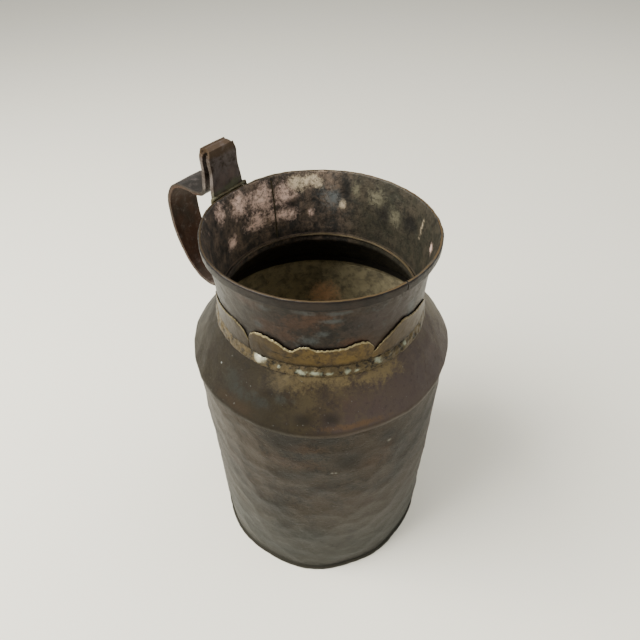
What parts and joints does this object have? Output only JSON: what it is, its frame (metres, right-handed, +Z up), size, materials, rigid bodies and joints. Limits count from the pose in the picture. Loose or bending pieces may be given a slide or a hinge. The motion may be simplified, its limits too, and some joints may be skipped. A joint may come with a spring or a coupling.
{
  "type": "water jug",
  "caption": "Cylindrical sheet-copper water jug with a conical shoulder, flared neck with folded rim, and a strap handle with folded thumb tab.",
  "frame": {"origin": "centre of the base on the surface that the jug stands on, on the axis of the body", "axes": "+Z up along the jug's axis, handle on the -X side"},
  "size_m": [0.222, 0.1862, 0.3265],
  "materials": {
    "hammered_copper": "hammered copper with a dark brown and grey-green patina",
    "base_copper": "dark patinated copper",
    "shoulder_copper": "olive-brown patinated copper",
    "neck_copper": "dark reddish-brown patinated copper, tinned and worn inside",
    "strap_copper": "brown copper worn smooth by the hand",
    "band_brass": "aged yellow brass",
    "braze": "rough brass braze with green deposits",
    "tin_solder": "lumpy pale tin solder",
    "tin_lining": "dull oxidised tin"
  },
  "bodies": {
    "root": {"body_wall": "hammered_copper", "body_seam_braze": "braze", "base_plate": "base_copper", "base_seam_solder": "tin_lining", "shoulder_cone": "shoulder_copper", "shoulder_seam_solder": "tin_lining", "neck_collar": "neck_copper", "neck_seam_braze": "braze", "neck_solder_ring": "tin_solder", "neck_band_left": "band_brass", "neck_band_front": "band_brass", "neck_band_right": "band_brass", "handle_strap": "strap_copper", "handle_top_braze": "braze", "handle_foot_braze": "braze"}
  },
  "joints": []
}
